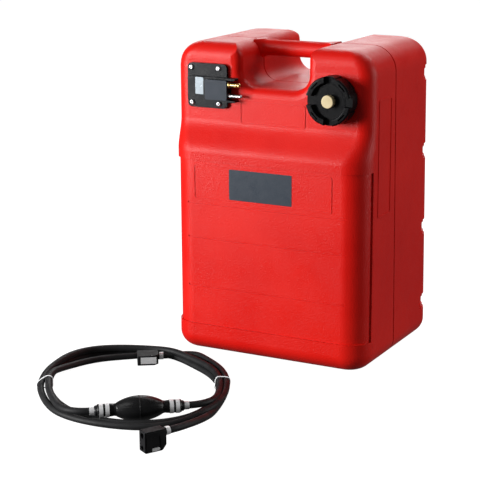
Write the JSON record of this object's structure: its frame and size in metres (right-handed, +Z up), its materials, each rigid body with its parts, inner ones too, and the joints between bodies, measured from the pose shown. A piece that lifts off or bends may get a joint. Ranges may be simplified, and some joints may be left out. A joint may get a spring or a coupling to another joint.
{
  "type": "portable marine fuel tank",
  "caption": "Upright portable fuel tank with carrying grip, level gauge, vented screw cap, and a coiled fuel line with a priming bulb and push-on connectors.",
  "frame": {"origin": "on the tank's flat foot, at the surface that it stands on: the middle of its width, 126 mm behind the lower front face", "axes": "+Z up, +X to the right seen from the gauge side, +Y from the gauge side to the back"},
  "size_m": [0.4288, 0.6718, 0.48],
  "materials": {
    "tank": "moulded, lightly grained",
    "cap": "fine grain",
    "gauge": "fine grain",
    "black_trim": "smooth",
    "seal": "smooth",
    "vent": "smooth",
    "dial": "smooth",
    "window": "clear",
    "needle": "smooth",
    "nipple": "turned",
    "steel": "bright",
    "inner_plastic": "smooth",
    "float": "cellular",
    "mesh": "woven",
    "rubber": "soft sheen",
    "connector": "fine grain"
  },
  "bodies": {
    "tank": {"tank_shell": "tank", "filler_neck": "tank", "gauge_gasket": "seal", "gauge_plate": "gauge", "connector_cover": "gauge", "gauge_dial": "dial", "gauge_window": "window", "fuel_nipple": "nipple", "locating_pin": "steel", "gauge_stem": "inner_plastic", "float_pin": "steel", "pickup_tube": "inner_plastic", "strainer": "mesh"},
    "cap_gasket": {"cap_gasket": "seal"},
    "cap": {"filler_cap": "cap"},
    "vent_seal": {"vent_seal": "seal"},
    "vent": {"vent_screw": "vent"},
    "needle": {"gauge_needle": "needle"},
    "float": {"float_arm": "steel", "gauge_float": "float"},
    "fuel_line": {"primer_bulb": "rubber", "neck_strap_in_1": "steel", "neck_strap_in_2": "steel", "bulb_valve_in": "black_trim", "hose_crimp_in": "steel", "neck_strap_out_1": "steel", "neck_strap_out_2": "steel", "bulb_valve_out": "black_trim", "hose_crimp_out": "steel", "rear_connector": "connector", "rear_latch_pin": "steel", "rear_crimp": "steel", "front_connector": "connector", "front_latch_pin": "steel", "front_crimp": "steel", "hose_coil": "rubber", "hose_from_bulb": "rubber", "hose_to_bulb": "rubber", "hose_rear_end": "rubber", "hose_front_end": "rubber"},
    "rear_latch": {"rear_latch": "steel"},
    "front_latch": {"front_latch": "steel"}
  },
  "joints": [
    {"name": "cap_rise", "type": "slide", "parent": "tank", "child": "cap_gasket", "axis": [0, -1, 0], "range_m": [0, 0.018]},
    {"name": "cap_turn", "type": "hinge", "parent": "cap_gasket", "child": "cap", "pos_m": [0.1052, -0.104, 0.4094], "axis": [0, -1, 0], "range_deg": [0, 1080]},
    {"name": "vent_rise", "type": "slide", "parent": "cap", "child": "vent_seal", "axis": [0, -1, 0], "range_m": [0, 0.002]},
    {"name": "vent_turn", "type": "hinge", "parent": "vent_seal", "child": "vent", "pos_m": [0.1052, -0.104, 0.4094], "axis": [0, -1, 0], "range_deg": [0, 720]},
    {"name": "float_swing", "type": "hinge", "parent": "tank", "child": "float", "pos_m": [-0.1045, -0.086, 0.241], "axis": [1, 0, 0], "range_deg": [0, 115]},
    {"name": "needle_swing", "type": "hinge", "parent": "tank", "child": "needle", "pos_m": [-0.1155, -0.109, 0.407], "axis": [0, 1, 0], "range_deg": [0, 30]},
    {"name": "fuel_line_lift", "type": "slide", "parent": "tank", "child": "fuel_line", "axis": [0, 0, 1], "range_m": [0, 0.3]},
    {"name": "rear_latch_swing", "type": "hinge", "parent": "fuel_line", "child": "rear_latch", "pos_m": [-0.14563, -0.21705, 0.0075], "axis": [0, 0, 1], "range_deg": [0, 8], "stiffness_Nm_per_rad": 0.4},
    {"name": "front_latch_swing", "type": "hinge", "parent": "fuel_line", "child": "front_latch", "pos_m": [0.0375, -0.5037, 0.0029], "axis": [0.866, -0.5, 0], "range_deg": [0, 8], "stiffness_Nm_per_rad": 0.4}
  ],
  "couplings": [
    {"joint": "cap_rise", "follows": "cap_turn", "m_per_rad": 0.0009549},
    {"joint": "vent_turn", "follows": "vent_rise", "rad_per_m": 6283.2},
    {"joint": "needle_swing", "follows": "float_swing", "ratio": 0.26}
  ]
}
